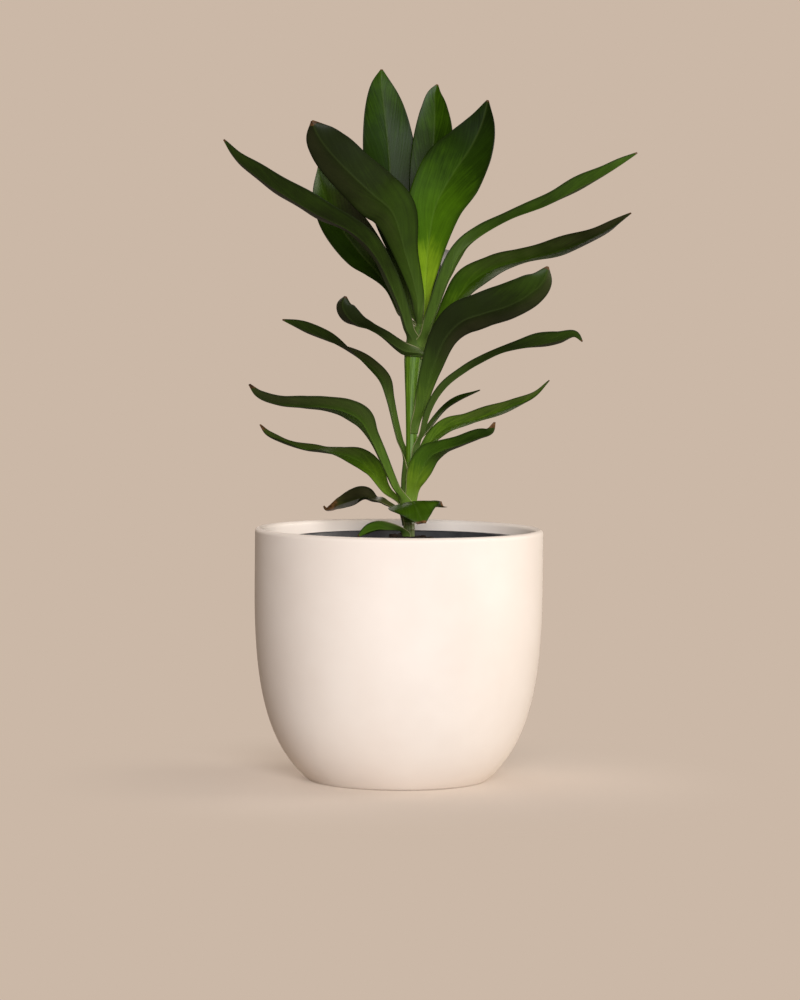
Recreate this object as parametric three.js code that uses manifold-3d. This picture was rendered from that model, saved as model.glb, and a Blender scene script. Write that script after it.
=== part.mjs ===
// Potted cordyline: a young green house plant in its black nursery pot, which stands in a cream
// ceramic cachepot. Millimetres, +Z up, origin at the centre of the cachepot's flat foot.
// Every leaf, the stem, the soil and both pots are separate closed solids.
import * as THREE from "three";
import { mergeVertices } from "three/addons/utils/BufferGeometryUtils.js";
import Module from "manifold-3d";

// Cachepot: straight sides on a big rounded bottom
const POT_RADIUS = 112.5;
const POT_HEIGHT = 197;
const POT_FOOT_RADIUS = 70;
const POT_SIDE_START = 150;
const POT_WALL = 6.5;
const POT_FLOOR = 9;

// Nursery pot: thin tapered plastic pot that stands on the cachepot's floor, nearer one side
const GAP = 0.3;
const INNER_OFFSET_X = 8;
const NURSERY_RIM_RADIUS = 94;
const NURSERY_FOOT_RADIUS = 62;
const NURSERY_WALL = 1.6;
const NURSERY_RIM_TOP = 189;
const NURSERY_LIP_HEIGHT = 9;
const NURSERY_LIP_PROUD = 1.4;
const DRAIN_HOLE_RADIUS = 6;
const DRAIN_HOLE_CIRCLE = 42;
const DRAIN_HOLE_COUNT = 6;

// Soil: fills the nursery pot and mounds up round the stem
const SOIL_EDGE_TOP = 177;
const SOIL_MOUND_TOP = 191;
const STEM_FOOT = 60;

// Leaves
const LEAF_THICKNESS = 1.2;
const LEAF_STEPS_PER_POINT = 2;
const LEAF_ACROSS = [-1, -0.5, 0, 0.5, 1];
const BLADE_CUP = 0.2;
const PETIOLE_CUP = 0.35;
const PETIOLE_HALF_WIDTH = 6;

const LATHE_SEGMENTS = 48;
const CERAMIC = { color: "#f4eadf", roughness: 0.7, metalness: 0 };
const BLACK_PLASTIC = { color: "#232326", roughness: 0.5, metalness: 0 };
const SOIL = { color: "#2b2119", roughness: 1, metalness: 0 };
const STEM_GREEN = { color: "#5f8a3c", roughness: 0.5, metalness: 0 };
const DARK_LEAF = { color: "#1f3d1d", roughness: 0.4, metalness: 0 };
const MID_LEAF = { color: "#33582a", roughness: 0.4, metalness: 0 };
const WITHERED_LEAF = { color: "#5d5327", roughness: 0.6, metalness: 0 };

// Stem: [x, y, z, radius] up its middle; it thickens where the leaf bases wrap it
const STEM_COURSE = [
  [8, 0, STEM_FOOT, 4],
  [8, 0, 130, 4.2],
  [8, 0, 190, 4.2],
  [7, 0, 213, 4.8],
  [7.6, 0, 233, 5.2],
  [9, 0, 252, 4.4],
  [9, 0, 295, 4.9],
  [9.5, 0, 318, 6.2],
  [10.5, 0, 333, 7.3],
  [13, 0, 343, 7],
  [15, 0, 350, 6],
];

// Each leaf runs along its midrib from the stem to its tip: [x, y, z, half width, turn in degrees].
// At turn 0 the upper face looks along -Y, or along the facing given last; the leaf turns about
// its midrib from there.
const LEAVES = [
  ["leaf_crown_front_left", DARK_LEAF, [
    [13, -5.5, 352, 2.6, 160],
    [13, -12, 375, 5, 170],
    [3, -23, 412, 10, 172],
    [-7, -33, 443, 18, 168],
    [-22, -43, 457, 20, 162],
    [-40, -52, 473.5, 19, 160],
    [-56, -60, 490.5, 16.5, 156],
    [-64, -65, 501.5, 11.5, 154],
    [-69, -68, 511, 0.8, 154],
  ]],
  ["leaf_crown_back_left", MID_LEAF, [
    [12, 5.5, 352, 2.4, 20],
    [6, 13, 378, 5.5, 14],
    [1, 20, 408, 10, 12],
    [-7, 29, 446, 18, 10],
    [-10.5, 38, 490, 21, 8],
    [-14.5, 44, 524, 16, 6],
    [-17, 48, 544, 8.5, 6],
    [-17, 50, 556, 0.8, 6],
  ]],
  ["leaf_crown_back_centre", MID_LEAF, [
    [15.5, 1.5, 352, 2, -20],
    [15.5, 9, 390, 5.5, -22],
    [18, 17, 430, 11, -24],
    [21, 25, 468, 16, -22],
    [24.5, 31, 503, 16, -20],
    [25, 35, 524, 11.5, -20],
    [25, 37, 536, 6.5, -20],
    [27, 38, 544, 0.8, -20],
  ]],
  ["leaf_crown_front_right", MID_LEAF, [
    [19, -3, 352, 2.6, -50],
    [18.5, -6.5, 372, 5, -36],
    [19, -12.5, 395, 9.5, -24],
    [21, -21, 423, 16, -16],
    [26, -28, 449, 22, -14],
    [38, -34, 472, 25, -12],
    [52, -40, 493, 19.5, -12],
    [60.5, -43, 511, 11.5, -12],
    [65, -46, 528.5, 0.9, -14],
  ]],
  ["leaf_crown_back_right", DARK_LEAF, [
    [18.5, 4.5, 352, 2.4, -40],
    [23, 20, 378, 5.5, -30],
    [29, 44, 392, 11, -24],
    [31, 74, 401, 14, -20],
    [31, 106, 408, 11, -16],
    [30, 132, 414, 0.8, -16],
  ]],
  ["leaf_upper_left_long", DARK_LEAF, [
    [9, -8.6, 337, 4.5, 146],
    [5, -11, 355, 5.5, 140],
    [-2, -15, 376, 7, 134],
    [-20, -22, 412, 11, 126],
    [-36, -26, 428, 13, 119],
    [-68, -30, 445, 16, 118],
    [-106, -35, 468, 14, 117],
    [-127, -38, 484, 7, 118],
    [-137, -40, 497, 0.7, 120],
  ]],
  ["leaf_upper_left_broad", MID_LEAF, [
    [9, 1.5, 352, 2.2, 78],
    [-1, 6, 365, 4.5, 64],
    [-9, 12, 384, 8.5, 50],
    [-18.5, 18, 398, 15, 40],
    [-30.5, 26, 411, 19, 34],
    [-43.5, 31, 427.5, 20, 32],
    [-53.5, 36, 443.5, 17.5, 30],
    [-61, 41, 459, 12, 30],
    [-66, 45, 479, 0.8, 30],
  ]],
  ["leaf_upper_right_long", MID_LEAF, [
    [17.5, -8.8, 338, 4.5, -135],
    [23, -15, 361, 6, -130],
    [34, -17, 392, 8, -128],
    [45, -10, 414, 9, -128],
    [60, 1, 427, 11, -110],
    [84, 9, 441, 12, -102],
    [110, 19, 451, 13, -108],
    [133, 27, 463, 12, -116],
    [158, 35, 476, 9, -116],
    [185, 44, 492, 0.7, -116],
  ]],
  ["leaf_upper_right_second", DARK_LEAF, [
    [19.5, 6.5, 334, 4, -50],
    [31, 12, 356, 6.5, -48],
    [42, 18, 375, 11, -42],
    [54, 23, 390, 14, -44],
    [74, 30, 402, 14, -56],
    [95, 38, 408, 14, -66],
    [125, 47, 416, 15, -62],
    [157, 56, 429, 10, -64],
    [182, 64, 445, 0.7, -66],
  ]],
  ["leaf_upper_right_broad", DARK_LEAF, [
    [14, -6.4, 276, 3.8, -142],
    [18, -11, 298, 6.5, -150],
    [24, -18, 322, 9, -158],
    [34, -26, 347, 12, -158],
    [46, -32, 360, 15, -154],
    [63, -38, 367, 16, -148],
    [81, -43, 373, 17.5, -145],
    [97, -49, 382, 16.5, -144],
    [107, -53, 391, 11.5, -146],
    [112, -56, 402, 0.9, -150],
  ]],
  ["leaf_middle_left_short", DARK_LEAF, [
    [18.5, -10.5, 331, 3.5, 176],
    [9, -12.5, 334, 5, 168],
    [0, -17, 338.5, 6, 140],
    [-13, -25, 348, 6.5, 122],
    [-24, -30, 354, 6.5, 116],
    [-32, -34, 357, 8.5, 124],
    [-40, -37, 363, 9.5, 140],
    [-44, -39, 371, 7.5, 146],
    [-43, -40, 378, 1, 150],
  ]],
  ["leaf_middle_left_thin", DARK_LEAF, [
    [3.5, 4, 250, 3.2, 50],
    [-2, 9, 270, 4, 52],
    [-9, 18, 298, 5, 52],
    [-14, 24, 313, 8, 54],
    [-24, 30, 324, 8, 62],
    [-41, 38, 336, 8, 88],
    [-57, 44, 344, 8, 118],
    [-75, 52, 351, 8, 124],
    [-94, 59, 358, 0.6, 122],
  ]],
  ["leaf_lower_left_long", MID_LEAF, [
    [3, -6.4, 215, 3.4, 140],
    [-9, -12, 242, 4.5, 138],
    [-22, -19, 270, 7, 136],
    [-30, -23, 283, 11, 140],
    [-42, -28, 290, 11, 134],
    [-59, -34, 294, 11, 122],
    [-74, -37, 294.5, 11, 116],
    [-92, -43, 296, 10, 117],
    [-109, -48, 302, 6.5, 118],
    [-116, -50, 310, 0.9, 120],
  ]],
  ["leaf_lower_left_curled", DARK_LEAF, [
    [0.5, 3.5, 213, 3.2, 50],
    [-12, 10, 227, 5.5, 50],
    [-21, 18, 241, 10, 48],
    [-34, 26, 250, 11, 50],
    [-48, 31, 254, 9, 66],
    [-62, 35, 256, 8, 84],
    [-74, 39, 257, 7, 72],
    [-92, 43, 262, 5, 76],
    [-105, 46, 268, 4, 70],
    [-111, 48, 275, 0.6, 60],
  ]],
  ["leaf_middle_right_long", DARK_LEAF, [
    [14.5, -3.6, 259, 2.8, -110],
    [23, -13, 291, 4, -124],
    [34, -20, 309, 5, -126],
    [50, -27, 322, 5, -122],
    [63, -32, 330, 5.5, -112],
    [77, -36, 337, 7, -106],
    [92, -41, 341, 9.5, -112],
    [107, -45, 344, 11, -122],
    [121, -49, 347, 9, -122],
    [133, -52, 350, 4.5, -122],
    [139, -54, 345, 0.6, -122],
  ]],
  ["leaf_middle_right_tiny", DARK_LEAF, [
    [14.5, 3.8, 262, 2.4, -60],
    [24, 16, 277, 3, -54],
    [35, 27, 290, 3.6, -66],
    [46, 34, 297, 3.6, -62],
    [63, 45, 304, 0.5, -70],
  ]],
  ["leaf_lower_right_thin", DARK_LEAF, [
    [13.5, 4.6, 247, 2.8, -50],
    [24, 11, 265, 6, -40],
    [37, 18, 276, 8, -48],
    [54, 25, 281, 8, -56],
    [74, 33, 287, 9, -60],
    [90, 39, 293, 7, -60],
    [106, 45, 300, 3.4, -60],
    [118, 50, 312, 0.5, -60],
  ]],
  ["leaf_lower_right_folded", MID_LEAF, [
    [11, -6, 219, 3.4, -160],
    [11.5, -9, 230, 6.5, -164],
    [16, -14, 243, 10, -160],
    [23, -19, 255, 10.5, -150],
    [33, -24, 261, 9, -134],
    [47, -29, 266, 8.5, -122],
    [60, -33, 271, 8.5, -120],
    [70, -37, 275, 6, -122],
    [73, -39, 282, 0.9, -124],
  ]],
  ["leaf_base_left_withered", WITHERED_LEAF, [
    [-0.5, 4, 207, 2.6, 50],
    [-13, 12, 217, 4, 62],
    [-21, 20, 218.5, 6, 84],
    [-28, 26, 220, 9, 58],
    [-38, 32, 217, 10, 54],
    [-48, 38, 213, 7, 56],
    [-58, 43, 208.5, 2, 60],
    [-60, 43, 211, 0.8, 60],
  ]],
  ["leaf_base_front", DARK_LEAF, [
    [8, -7.4, 208, 4, 0],
    [9.5, -18, 216.5, 11, 6],
    [10.5, -29, 218.5, 19, 8],
    [12, -38, 216.5, 18.5, 9],
    [15, -44, 210.5, 11, 10],
    [17.5, -48, 204, 3.5, 10],
  ], [0, 0, 1]],
  ["leaf_base_right_small", DARK_LEAF, [
    [12.5, 4, 209, 2.6, -60],
    [24, 14, 214, 4.2, -60],
    [35, 26, 213.5, 3.8, -60],
  ]],
  ["leaf_base_on_soil", MID_LEAF, [
    [2.4, -5.2, 192.5, 2.6, 118],
    [-6, -10, 197, 5, 126],
    [-15, -14, 198.5, 6.5, 130],
    [-24, -18, 196.5, 6, 130],
    [-32, -21, 191.5, 1, 126],
  ]],
];

const wasm = await Module();
wasm.setup();

const plant = new THREE.Group();

function addPiece(name, geometry, finish) {
  const mesh = new THREE.Mesh(geometry, new THREE.MeshStandardMaterial(finish));
  mesh.name = name;
  plant.add(mesh);
  return mesh;
}

// Turns a profile of Vector2 (radius, height) round the Z axis
function turned(profile) {
  return new THREE.LatheGeometry(profile, LATHE_SEGMENTS).rotateX(Math.PI / 2);
}

function asSolid(geometry) {
  const bare = geometry.clone();
  bare.deleteAttribute("normal");
  bare.deleteAttribute("uv");
  const merged = mergeVertices(bare, 1e-3);
  return new wasm.Manifold(
    new wasm.Mesh({
      numProp: 3,
      vertProperties: merged.attributes.position.array,
      triVerts: new Uint32Array(merged.index.array),
    }),
  );
}

function asGeometry(solid) {
  const mesh = solid.getMesh();
  const geometry = new THREE.BufferGeometry();
  geometry.setAttribute("position", new THREE.BufferAttribute(mesh.vertProperties, 3));
  geometry.setIndex(new THREE.BufferAttribute(mesh.triVerts, 1));
  geometry.computeVertexNormals();
  return geometry;
}

// Skins a row of closed rings, each with the same number of points, and closes both ends.
// A ring's first half and second half face each other, so an end closes as a strip between them.
function lofted(rings) {
  const count = rings[0].length;
  const positions = rings.flat().flatMap((point) => point.toArray());
  const faces = [];
  for (let i = 0; i + 1 < rings.length; i += 1) {
    for (let j = 0; j < count; j += 1) {
      const a = i * count + j;
      const b = i * count + ((j + 1) % count);
      faces.push(a, b, b + count, a, b + count, a + count);
    }
  }
  const last = (rings.length - 1) * count;
  for (let j = 0; j + 1 < count / 2; j += 1) {
    const k = count - 1 - j;
    faces.push(j, k, k - 1, j, k - 1, j + 1);
    faces.push(last + j, last + k - 1, last + k, last + j, last + j + 1, last + k - 1);
  }
  const geometry = new THREE.BufferGeometry();
  geometry.setAttribute("position", new THREE.Float32BufferAttribute(positions, 3));
  geometry.setIndex(faces);
  geometry.computeVertexNormals();
  return geometry;
}

// Cachepot: outside from the foot up, round the rim, down the inside to the floor
function makeCeramicPot() {
  const inside = POT_RADIUS - POT_WALL;
  const rim = POT_WALL / 2;
  const outline = new THREE.Path();
  outline.moveTo(0, 0);
  outline.lineTo(POT_FOOT_RADIUS, 0);
  outline.bezierCurveTo(103, 28, POT_RADIUS, 75, POT_RADIUS, POT_SIDE_START);
  outline.lineTo(POT_RADIUS, POT_HEIGHT - rim);
  outline.absarc(POT_RADIUS - rim, POT_HEIGHT - rim, rim, 0, Math.PI, false);
  outline.lineTo(inside, POT_SIDE_START);
  outline.bezierCurveTo(inside, 80, 98, 36, POT_FOOT_RADIUS + 2, POT_FLOOR);
  outline.lineTo(0, POT_FLOOR);
  const profile = outline.getPoints(9);
  addPiece("ceramic_pot", turned(profile), CERAMIC);
}

// Nursery pot: tapered wall with a thicker lip, and drain holes through its floor
function makeNurseryPot() {
  const foot = POT_FLOOR + GAP;
  const lip = NURSERY_RIM_TOP - NURSERY_LIP_HEIGHT;
  const taper = (NURSERY_RIM_RADIUS - NURSERY_FOOT_RADIUS) / (NURSERY_RIM_TOP - foot);
  const radiusAt = (z) => NURSERY_FOOT_RADIUS + taper * (z - foot);
  const profile = [
    [0, foot],
    [NURSERY_FOOT_RADIUS, foot],
    [radiusAt(lip), lip],
    [radiusAt(lip) + NURSERY_LIP_PROUD, lip],
    [NURSERY_RIM_RADIUS + NURSERY_LIP_PROUD, NURSERY_RIM_TOP],
    [NURSERY_RIM_RADIUS - NURSERY_WALL, NURSERY_RIM_TOP],
    [NURSERY_FOOT_RADIUS - NURSERY_WALL, foot + NURSERY_WALL],
    [0, foot + NURSERY_WALL],
  ].map(([radius, z]) => new THREE.Vector2(radius, z));
  let pot = asSolid(turned(profile));
  for (let i = 0; i < DRAIN_HOLE_COUNT; i += 1) {
    const angle = (i / DRAIN_HOLE_COUNT) * 2 * Math.PI;
    const hole = new THREE.CylinderGeometry(DRAIN_HOLE_RADIUS, DRAIN_HOLE_RADIUS, 20, 12);
    hole.rotateX(Math.PI / 2);
    hole.translate(DRAIN_HOLE_CIRCLE * Math.cos(angle), DRAIN_HOLE_CIRCLE * Math.sin(angle), foot);
    pot = pot.subtract(asSolid(hole));
  }
  const piece = addPiece("nursery_pot", asGeometry(pot), BLACK_PLASTIC);
  piece.position.x = INNER_OFFSET_X;
}

// Soil: the root ball, with the stem's own hole down its middle
function makeSoil() {
  const foot = POT_FLOOR + NURSERY_WALL + 2 * GAP;
  const side = NURSERY_WALL + GAP + 0.4;
  const taper = (NURSERY_RIM_RADIUS - NURSERY_FOOT_RADIUS) / (NURSERY_RIM_TOP - POT_FLOOR);
  const hole = STEM_COURSE[2][3] + GAP + 0.2;
  const profile = [
    [0, foot],
    [NURSERY_FOOT_RADIUS - side, foot],
    [NURSERY_FOOT_RADIUS - side + taper * (SOIL_EDGE_TOP - foot), SOIL_EDGE_TOP],
    [60, SOIL_EDGE_TOP + 3],
    [32, SOIL_EDGE_TOP + 7],
    [16, SOIL_MOUND_TOP - 3],
    [8, SOIL_MOUND_TOP],
    [hole, SOIL_MOUND_TOP - 0.5],
    [hole, STEM_FOOT - GAP],
    [0, STEM_FOOT - GAP],
  ].map(([radius, z]) => new THREE.Vector2(radius, z));
  const piece = addPiece("potting_soil", turned(profile), SOIL);
  piece.position.x = INNER_OFFSET_X;
}

// Stem: round rings up its course
function makeStem() {
  const sides = 12;
  const course = new THREE.CatmullRomCurve3(
    STEM_COURSE.map(([x, y, z]) => new THREE.Vector3(x, y, z)),
    false,
    "centripetal",
  );
  const last = STEM_COURSE.length - 1;
  const steps = last * 2;
  const rings = [];
  for (let i = 0; i <= steps; i += 1) {
    const centre = course.getPoint(i / steps);
    const k = Math.min(Math.floor(i / 2), last - 1);
    const radius = THREE.MathUtils.lerp(STEM_COURSE[k][3], STEM_COURSE[k + 1][3], i / 2 - k);
    const ring = [];
    for (let j = 0; j < sides; j += 1) {
      const angle = ((j + 0.5) / sides) * 2 * Math.PI;
      const reach = new THREE.Vector3(Math.cos(angle), Math.sin(angle), 0);
      ring.push(reach.multiplyScalar(radius).add(centre));
    }
    rings.push(ring);
  }
  addPiece("stem", lofted(rings), STEM_GREEN);
}

// A smooth value through the rows of one column, at t from 0 to the last row
function along(rows, column, t) {
  const i = Math.min(Math.floor(t), rows.length - 2);
  return THREE.MathUtils.lerp(rows[i][column], rows[i + 1][column], THREE.MathUtils.smoothstep(t - i, 0, 1));
}

// Leaf: a thin channelled blade along its midrib. Its two faces are one ring at each station.
function makeLeaf(name, finish, rows, facingAtZero = [0, -1, 0]) {
  const midrib = new THREE.CatmullRomCurve3(
    rows.map(([x, y, z]) => new THREE.Vector3(x, y, z)),
    false,
    "centripetal",
  );
  const last = rows.length - 1;
  const steps = last * LEAF_STEPS_PER_POINT;
  const rings = [];
  for (let i = 0; i <= steps; i += 1) {
    const t = i / steps;
    const centre = midrib.getPoint(t);
    const forward = midrib.getTangent(t);
    const halfWidth = along(rows, 3, t * last);
    const turn = THREE.MathUtils.degToRad(along(rows, 4, t * last));
    const facing = new THREE.Vector3(...facingAtZero);
    facing.addScaledVector(forward, -facing.dot(forward)).normalize();
    const normal = facing.applyAxisAngle(forward, turn);
    const side = new THREE.Vector3().crossVectors(forward, normal);
    const narrowness = Math.exp(-((halfWidth / PETIOLE_HALF_WIDTH) ** 2));
    const cup = BLADE_CUP + PETIOLE_CUP * narrowness;
    const face = (v, sign) => {
      const thickness = LEAF_THICKNESS * (1 - 0.4 * v * v);
      const lift = cup * halfWidth * (v * v - 0.5) + (sign * thickness) / 2;
      return centre.clone().addScaledVector(side, halfWidth * v).addScaledVector(normal, lift);
    };
    const upper = LEAF_ACROSS.map((v) => face(v, 1));
    const lower = LEAF_ACROSS.map((v) => face(v, -1)).reverse();
    rings.push([...upper, ...lower]);
  }
  addPiece(name, lofted(rings), finish);
}

makeCeramicPot();
makeNurseryPot();
makeSoil();
makeStem();
LEAVES.forEach((leaf) => makeLeaf(...leaf));

export default plant;
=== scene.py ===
"""Potted cordyline: a young green house plant in its black nursery pot, inside a cream ceramic cachepot.

Metres, +Z up. The plant's front faces -Y. Each section makes one piece or one group of like pieces.
"""

import math

import bpy
import numpy as np
from mathutils import Matrix, Vector


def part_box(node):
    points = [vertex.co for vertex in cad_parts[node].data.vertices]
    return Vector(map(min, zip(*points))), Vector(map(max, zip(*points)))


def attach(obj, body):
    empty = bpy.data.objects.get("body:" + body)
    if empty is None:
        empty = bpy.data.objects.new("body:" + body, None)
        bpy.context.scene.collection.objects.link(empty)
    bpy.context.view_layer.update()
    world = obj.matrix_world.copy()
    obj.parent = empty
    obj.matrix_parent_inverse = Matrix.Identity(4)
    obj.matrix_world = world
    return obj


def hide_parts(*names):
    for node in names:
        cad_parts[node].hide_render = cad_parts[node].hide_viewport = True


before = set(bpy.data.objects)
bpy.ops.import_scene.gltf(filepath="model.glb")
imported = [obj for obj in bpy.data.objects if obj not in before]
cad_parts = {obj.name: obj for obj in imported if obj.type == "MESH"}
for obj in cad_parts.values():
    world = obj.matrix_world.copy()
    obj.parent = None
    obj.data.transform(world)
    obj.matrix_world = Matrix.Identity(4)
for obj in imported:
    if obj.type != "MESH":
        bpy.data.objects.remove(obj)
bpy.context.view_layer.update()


# ---------------------------------------------------------------------------------------------
# Camera: a long lens three metres away, a little above the crown's middle and looking slightly
# down, held half a degree off level.
# ---------------------------------------------------------------------------------------------
EYE = Vector((0.0, -3.0, 0.404))
AIM = Vector((0.0005, 0.0, 0.219))
SEEN_HEIGHT = 0.781
SENSOR_HEIGHT = 24
CAMERA_ROLL = math.radians(0.5)

camera_data = bpy.data.cameras.new("portrait_camera")
camera_data.sensor_fit = "VERTICAL"
camera_data.sensor_height = SENSOR_HEIGHT
camera_data.lens = SENSOR_HEIGHT * (AIM - EYE).length / SEEN_HEIGHT
camera_data.clip_end = 50
camera = bpy.data.objects.new("portrait_camera", camera_data)
level = (AIM - EYE).to_track_quat("-Z", "Y").to_matrix()
camera.matrix_world = Matrix.Translation(EYE) @ (level @ Matrix.Rotation(CAMERA_ROLL, 3, "Z")).to_4x4()
bpy.context.scene.collection.objects.link(camera)
bpy.context.scene.camera = camera


# ---------------------------------------------------------------------------------------------
# Studio: a broad soft key beside the camera, a warm softbox overhead, a reflector on the right, a
# fill from behind, and a beige paper floor that runs into a backdrop of the same colour.
# ---------------------------------------------------------------------------------------------
BEIGE_PAPER = "#cbb8a7"
LIGHT_REACH = 2.3


def linear(colour):
    """An sRGB hex colour as linear red, green, blue and alpha."""
    parts = [int(colour[i:i + 2], 16) / 255 for i in (1, 3, 5)]
    return [c / 12.92 if c <= 0.04045 else ((c + 0.055) / 1.055) ** 2.4 for c in parts] + [1.0]


def add_node(tree, kind, links=None, ramp=None, **settings):
    """Adds one node. Settings are its properties, links gives each input a value or the socket that
    feeds it, and ramp lists a colour ramp's places and colours."""
    node = tree.nodes.new(kind)
    for name, value in settings.items():
        setattr(node, name, value)
    for name, value in (links or {}).items():
        if isinstance(value, bpy.types.NodeSocket):
            tree.links.new(value, node.inputs[name])
        else:
            node.inputs[name].default_value = value
    if ramp:
        stops = node.color_ramp.elements
        while len(stops) < len(ramp):
            stops.new(1.0)
        for stop, (place, colour) in zip(stops, ramp):
            stop.position = place
            stop.color = linear(colour)
    return node


def add_softbox(name, azimuth, elevation, power, size, colour):
    """A square soft light aimed at the plant's middle. Azimuth is in degrees right of the camera."""
    light = bpy.data.lights.new(name, "AREA")
    light.energy = power
    light.size = size
    light.color = linear(colour)[:3]
    lamp = bpy.data.objects.new(name, light)
    turn = math.radians(azimuth)
    rise = math.radians(elevation)
    away = Vector((math.sin(turn) * math.cos(rise), -math.cos(turn) * math.cos(rise), math.sin(rise)))
    place = Matrix.Translation(AIM + away * LIGHT_REACH)
    lamp.matrix_world = place @ away.to_track_quat("Z", "Y").to_matrix().to_4x4()
    lamp.visible_camera = False
    bpy.context.scene.collection.objects.link(lamp)


add_softbox("key_softbox", 6, 14, 47, 0.9, "#f8faff")
add_softbox("overhead_softbox", -12, 40, 8, 1.2, "#ffe2c8")
add_softbox("right_reflector", 100, 12, 36, 1.2, "#fff6ec")
add_softbox("rear_fill", 205, 28, 20, 1.6, "#fff4ea")

world = bpy.data.worlds.new("beige_room")
bpy.context.scene.world = world
world.use_nodes = True
world.node_tree.nodes.clear()
sight = add_node(world.node_tree, "ShaderNodeLightPath")
seen = add_node(world.node_tree, "ShaderNodeBackground", {"Color": linear(BEIGE_PAPER), "Strength": 1.0})
felt = add_node(world.node_tree, "ShaderNodeBackground", {"Color": linear("#c8925f"), "Strength": 0.07})
chosen = add_node(world.node_tree, "ShaderNodeMixShader", {
    0: sight.outputs["Is Camera Ray"], 1: felt.outputs[0], 2: seen.outputs[0]})
add_node(world.node_tree, "ShaderNodeOutputWorld", {"Surface": chosen.outputs[0]})
bpy.context.scene.view_settings.view_transform = "Standard"


def bare_material(name):
    """A new material with an empty node tree."""
    material = bpy.data.materials.new(name)
    material.use_nodes = True
    material.node_tree.nodes.clear()
    return material, material.node_tree


def make_piece(name, points, faces, material, shades=None):
    """A mesh object at the origin from an array of points and arrays of faces, smooth all over.
    Shades are named values at its points, numbers or vectors, that its material reads."""
    mesh = bpy.data.meshes.new(name)
    polygons = [corners for group in faces for corners in np.asarray(group).tolist()]
    mesh.from_pydata(np.asarray(points, float).reshape(-1, 3).tolist(), [], polygons)
    for label, values in (shades or {}).items():
        values = np.asarray(values, np.float32)
        if values.ndim > 1 and values.shape[-1] == 3 and values.size == len(mesh.vertices) * 3:
            mesh.attributes.new(label, "FLOAT_VECTOR", "POINT").data.foreach_set("vector", values.ravel())
        else:
            mesh.attributes.new(label, "FLOAT", "POINT").data.foreach_set("value", values.ravel())
    mesh.polygons.foreach_set("use_smooth", [True] * len(mesh.polygons))
    mesh.materials.append(material)
    mesh.update()
    piece = bpy.data.objects.new(name, mesh)
    bpy.context.scene.collection.objects.link(piece)
    return piece


# Seamless backdrop paper: matt, lit near the pot so that it takes a soft contact shadow, and even
# beige further off, where the studio light would otherwise fall away. It throws back less light
# than it shows.
paper, tree = bare_material("beige_backdrop_paper")
where = add_node(tree, "ShaderNodeTexCoord")
distance = add_node(tree, "ShaderNodeVectorMath", {0: where.outputs["Object"]}, operation="LENGTH")
evenness = add_node(tree, "ShaderNodeMapRange", {
    "Value": distance.outputs["Value"], "From Min": 0.1, "From Max": 0.3, "To Min": 0.4},
    interpolation_type="SMOOTHSTEP")
lit = add_node(tree, "ShaderNodeBsdfPrincipled", {
    "Base Color": linear("#ece0d4"), "Roughness": 0.9, "Specular IOR Level": 0.1})
sight = add_node(tree, "ShaderNodeLightPath")
glow = add_node(tree, "ShaderNodeMapRange", {
    "Value": sight.outputs["Is Camera Ray"], "To Min": 0.35, "To Max": 1.0})
even = add_node(tree, "ShaderNodeEmission", {
    "Color": linear(BEIGE_PAPER), "Strength": glow.outputs[0]})
mixed = add_node(tree, "ShaderNodeMixShader", {
    0: evenness.outputs[0], 1: lit.outputs[0], 2: even.outputs[0]})
add_node(tree, "ShaderNodeOutputMaterial", {"Surface": mixed.outputs[0]})
corners = np.array([(-1, -1, 0), (1, -1, 0), (1, 1, 0), (-1, 1, 0)]) * 20.0
floor = make_piece("backdrop_paper", corners, [[(0, 1, 2, 3)]], paper)


# ---------------------------------------------------------------------------------------------
# Ceramic cachepot: slip-cast stoneware with a cream matt glaze, straight sides on a big rounded
# bottom, and a soft rounded rim. One wall thickness all over.
# ---------------------------------------------------------------------------------------------
MM = 0.001
POT_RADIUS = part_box("ceramic_pot")[1].x
POT_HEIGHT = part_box("ceramic_pot")[1].z
POT_FOOT_RADIUS = 70 * MM
POT_SIDE_START = 150 * MM
POT_WALL = 6.5 * MM
POT_FLOOR = 9 * MM
LATHE_STEPS = 288


def bend(start, start_handle, end_handle, end, steps):
    """Cubic curve between two points, pulled towards two handles: the usual Bezier sum of cubes."""
    t = np.linspace(0, 1, steps)[:, None]
    points = [np.array(p, float) for p in (start, start_handle, end_handle, end)]
    weights = ((1 - t) ** 3, 3 * t * (1 - t) ** 2, 3 * t * t * (1 - t), t ** 3)
    return sum(weight * point for weight, point in zip(weights, points))


def ring_quads(ring_count, around):
    """Faces between each closed ring of points and the next one."""
    first = np.arange(ring_count - 1)[:, None] * around
    here = np.arange(around)
    there = (here + 1) % around
    return np.stack([first + here, first + there, first + there + around, first + here + around],
                    axis=-1).reshape(-1, 4)


def pole_fans(ring_count, around):
    """Triangles that close the first and the last ring, each on a pole point. The two poles come
    after all the rings."""
    here = np.arange(around)
    there = (here + 1) % around
    last = (ring_count - 1) * around
    pole = np.full(around, ring_count * around)
    return np.concatenate([np.stack([pole, there, here], axis=-1),
                           np.stack([pole + 1, last + here, last + there], axis=-1)])


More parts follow.
